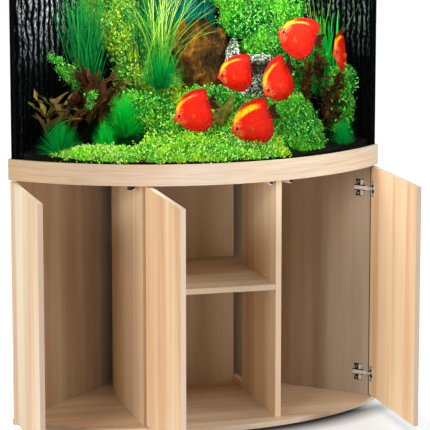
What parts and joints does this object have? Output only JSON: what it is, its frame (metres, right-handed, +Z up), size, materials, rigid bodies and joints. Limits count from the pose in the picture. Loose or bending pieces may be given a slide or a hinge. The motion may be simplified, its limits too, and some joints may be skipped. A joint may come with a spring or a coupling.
{
  "type": "corner aquarium on cabinet stand",
  "caption": "Corner aquarium with a bent front pane, on a wood-look cabinet with hinged doors, a shelf and push catches; hinged lids over the tank.",
  "frame": {"origin": "on the floor, under the middle glide, midway between the two front ends of the straight sides", "axes": "+Z up, +X to the right along the line between the two front ends, +Y back to the room's corner"},
  "size_m": [1.2238, 1.2432, 1.45],
  "materials": {
    "cabinet_wood": "satin pale beech-look board",
    "frame_wood": "satin pale wood-look band",
    "nickel_steel": "nickel plated",
    "black_plastic": "matt",
    "grey_plastic": "matt",
    "glass": "clear float glass",
    "tube_glass": "frosted white",
    "bark_foam": "rough, bark-like",
    "gravel": "planted gravel",
    "stone": "rough speckled stone",
    "root_wood": "rough",
    "sponge": "open foam"
  },
  "bodies": {
    "cabinet_and_tank": {"bark_panel_left": "bark_foam", "bark_panel_right": "bark_foam", "base_plate": "cabinet_wood", "bottom_frame": "frame_wood", "catch_body_left": "grey_plastic", "catch_body_middle": "grey_plastic", "catch_body_right": "grey_plastic", "divider_left": "cabinet_wood", "divider_right": "cabinet_wood", "filter_box": "black_plastic", "filter_sponge": "sponge", "glide_end_left": "black_plastic", "glide_end_right": "black_plastic", "glide_front_left": "black_plastic", "glide_front_right": "black_plastic", "glide_middle": "black_plastic", "glide_rear": "black_plastic", "heater": "grey_plastic", "hinge_arm_bottom_left": "nickel_steel", "hinge_arm_bottom_middle": "nickel_steel", "hinge_arm_bottom_right": "nickel_steel", "hinge_arm_top_left": "nickel_steel", "hinge_arm_top_middle": "nickel_steel", "hinge_arm_top_right": "nickel_steel", "light_bar": "black_plastic", "light_tube_front": "tube_glass", "light_tube_rear": "tube_glass", "pane_bottom": "glass", "pane_front": "glass", "pane_left": "glass", "pane_right": "glass", "planted_bed": "gravel", "pump": "black_plastic", "rear_panel": "cabinet_wood", "root_wood": "root_wood", "shelf": "cabinet_wood", "shelf_pin_front_left": "nickel_steel", "shelf_pin_front_right": "nickel_steel", "shelf_pin_rear_left": "nickel_steel", "shelf_pin_rear_right": "nickel_steel", "stone_large": "stone", "stone_small": "stone", "top_board": "cabinet_wood", "top_frame": "frame_wood", "wall_left": "cabinet_wood", "wall_right": "cabinet_wood"},
    "door_left": {"door_left": "cabinet_wood", "hinge_cup_top_left": "nickel_steel", "hinge_cup_bottom_left": "nickel_steel"},
    "door_middle": {"door_middle": "cabinet_wood", "hinge_cup_top_middle": "nickel_steel", "hinge_cup_bottom_middle": "nickel_steel"},
    "door_right": {"door_right": "cabinet_wood", "hinge_cup_top_right": "nickel_steel", "hinge_cup_bottom_right": "nickel_steel"},
    "catch_plunger_left": {"catch_plunger_left": "black_plastic"},
    "catch_plunger_middle": {"catch_plunger_middle": "black_plastic"},
    "catch_plunger_right": {"catch_plunger_right": "black_plastic"},
    "lid_front": {"lid_front": "black_plastic"},
    "lid_rear": {"lid_rear": "black_plastic"}
  },
  "joints": [
    {"name": "door_left_hinge", "type": "hinge", "parent": "cabinet_and_tank", "child": "door_left", "pos_m": [-0.5971, -0.0073, 0.41125], "axis": [0, 0, 1], "range_deg": [-30, 62]},
    {"name": "door_middle_hinge", "type": "hinge", "parent": "cabinet_and_tank", "child": "door_middle", "pos_m": [-0.2085, -0.20295, 0.41125], "axis": [0, 0, 1], "range_deg": [-5, 90]},
    {"name": "door_right_hinge", "type": "hinge", "parent": "cabinet_and_tank", "child": "door_right", "pos_m": [0.5971, -0.0073, 0.41125], "axis": [0, 0, -1], "range_deg": [-30, 62]},
    {"name": "catch_left_push", "type": "slide", "parent": "cabinet_and_tank", "child": "catch_plunger_left", "axis": [0.469, 0.8832, 0], "range_m": [0, 0.004], "stiffness_N_per_m": 300, "springref_m": -0.003},
    {"name": "catch_middle_push", "type": "slide", "parent": "cabinet_and_tank", "child": "catch_plunger_middle", "axis": [0, 1, 0], "range_m": [0, 0.004], "stiffness_N_per_m": 300, "springref_m": -0.003},
    {"name": "catch_right_push", "type": "slide", "parent": "cabinet_and_tank", "child": "catch_plunger_right", "axis": [-0.469, 0.8832, 0], "range_m": [0, 0.004], "stiffness_N_per_m": 300, "springref_m": -0.003},
    {"name": "lid_front_hinge", "type": "hinge", "parent": "cabinet_and_tank", "child": "lid_front", "pos_m": [0, 0.1099, 1.439], "axis": [-1, 0, 0], "range_deg": [0, 80]},
    {"name": "lid_rear_hinge", "type": "hinge", "parent": "cabinet_and_tank", "child": "lid_rear", "pos_m": [0, 0.1901, 1.439], "axis": [1, 0, 0], "range_deg": [0, 80]}
  ]
}
